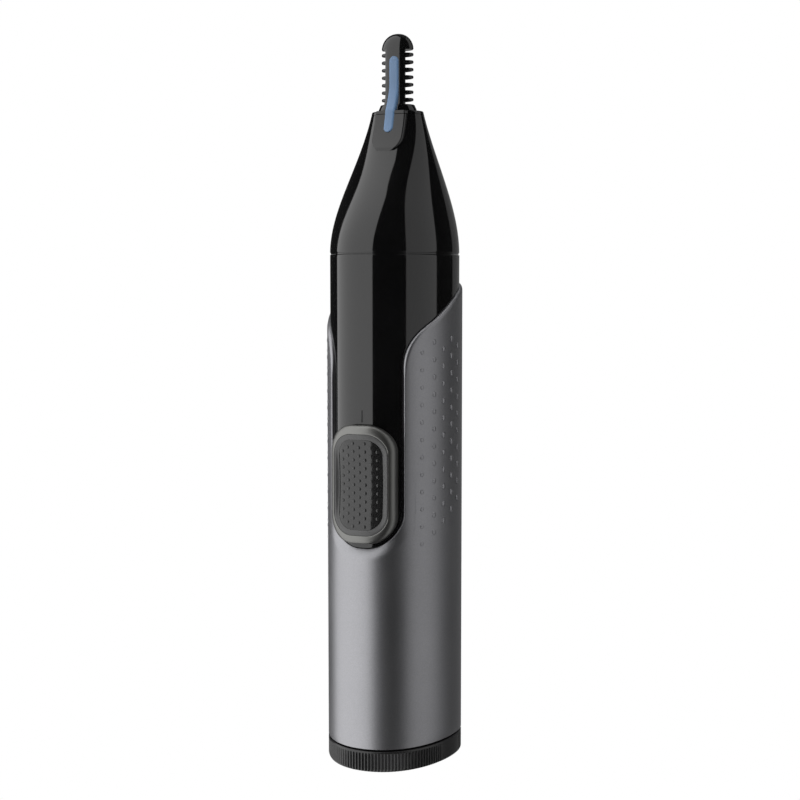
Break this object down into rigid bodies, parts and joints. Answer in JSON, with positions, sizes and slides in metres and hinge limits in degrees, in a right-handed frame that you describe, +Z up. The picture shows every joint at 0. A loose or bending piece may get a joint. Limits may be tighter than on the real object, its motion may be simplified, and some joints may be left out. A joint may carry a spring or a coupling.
{
  "type": "nose hair trimmer",
  "caption": "Slim battery hair trimmer for nose and ears: a slotted, domed cutter guard on a pull-off tapered head, a sleeved grip body with a slide switch and a ribbed twist-off battery cap.",
  "frame": {"origin": "on the drive axis, at the base plane that the trimmer stands on", "axes": "+Z up along the body to the cutter; -Y towards the switch side; +X to the right as seen from the switch side"},
  "size_m": [0.0256, 0.0282, 0.1384],
  "materials": {
    "sleeve_grey": "satin",
    "black_gloss": "gloss",
    "cap_black": "semi-matte",
    "button_silver": "satin",
    "pad_grey": "satin",
    "strip_blue": "gloss",
    "inner_plastic": "moulded",
    "seal_rubber": "matte",
    "contact_brass": "bright",
    "steel": "bright",
    "cell_print": "gloss print",
    "lead_insulation": "satin"
  },
  "bodies": {
    "body": {"outer_shell": "sleeve_grey", "grip_bumps": "sleeve_grey", "inner_housing": "black_gloss", "top_bulkhead": "black_gloss", "head_seal": "seal_rubber", "shaft_seal": "seal_rubber", "chassis": "inner_plastic", "battery_tube": "inner_plastic", "motor_cradle": "inner_plastic", "motor_can": "steel", "motor_end_cap": "inner_plastic", "motor_terminals": "contact_brass", "motor_bearing": "contact_brass", "chassis_screws": "steel", "positive_contact": "contact_brass", "negative_strip": "contact_brass", "switch_terminal": "contact_brass", "lead_wires": "lead_insulation"},
    "rotor": {"motor_shaft": "steel", "drive_coupling": "inner_plastic"},
    "switch": {"switch_button": "button_silver", "switch_pad": "pad_grey", "switch_slider": "inner_plastic", "switch_bridge": "contact_brass"},
    "battery": {"battery_can": "steel", "battery_button": "steel", "battery_sleeve": "cell_print"},
    "cap_contact": {"negative_contact_plate": "contact_brass", "negative_spring": "steel"},
    "cap": {"battery_cap": "cap_black", "cap_seal": "seal_rubber"},
    "head": {"head_shell": "black_gloss", "head_ring": "black_gloss", "head_tongue": "black_gloss", "head_core": "inner_plastic", "cutter_bush": "contact_brass", "cutter_guard": "black_gloss", "guide_strip": "strip_blue"},
    "cutter": {"cutter_shaft": "steel", "cutter_drive_end": "inner_plastic", "cutter_spring": "steel", "inner_cutter": "steel"}
  },
  "joints": [
    {"name": "switch_slide", "type": "slide", "parent": "body", "child": "switch", "axis": [0, 0, 1], "range_m": [0, 0.0035]},
    {"name": "motor_spin", "type": "hinge", "parent": "body", "child": "rotor", "pos_m": [0, 0, 0.075], "axis": [0, 0, 1], "continuous": true},
    {"name": "head_off", "type": "slide", "parent": "body", "child": "head", "axis": [0, 0, 1], "range_m": [0, 0.045]},
    {"name": "cutter_spin", "type": "hinge", "parent": "head", "child": "cutter", "pos_m": [0, 0, 0.11], "axis": [0, 0, 1], "continuous": true},
    {"name": "cap_off", "type": "slide", "parent": "body", "child": "cap_contact", "axis": [0, 0, -1], "range_m": [0, 0.118]},
    {"name": "battery_out", "type": "slide", "parent": "body", "child": "battery", "axis": [0, 0, -1], "range_m": [0, 0.059]},
    {"name": "cap_twist", "type": "hinge", "parent": "cap_contact", "child": "cap", "pos_m": [0, -0.0026, 0], "axis": [0, 0, 1], "range_deg": [0, 25]}
  ],
  "couplings": [
    {"joint": "cutter_spin", "follows": "motor_spin", "ratio": 1},
    {"joint": "battery_out", "follows": "cap_off", "ratio": 0.5}
  ]
}
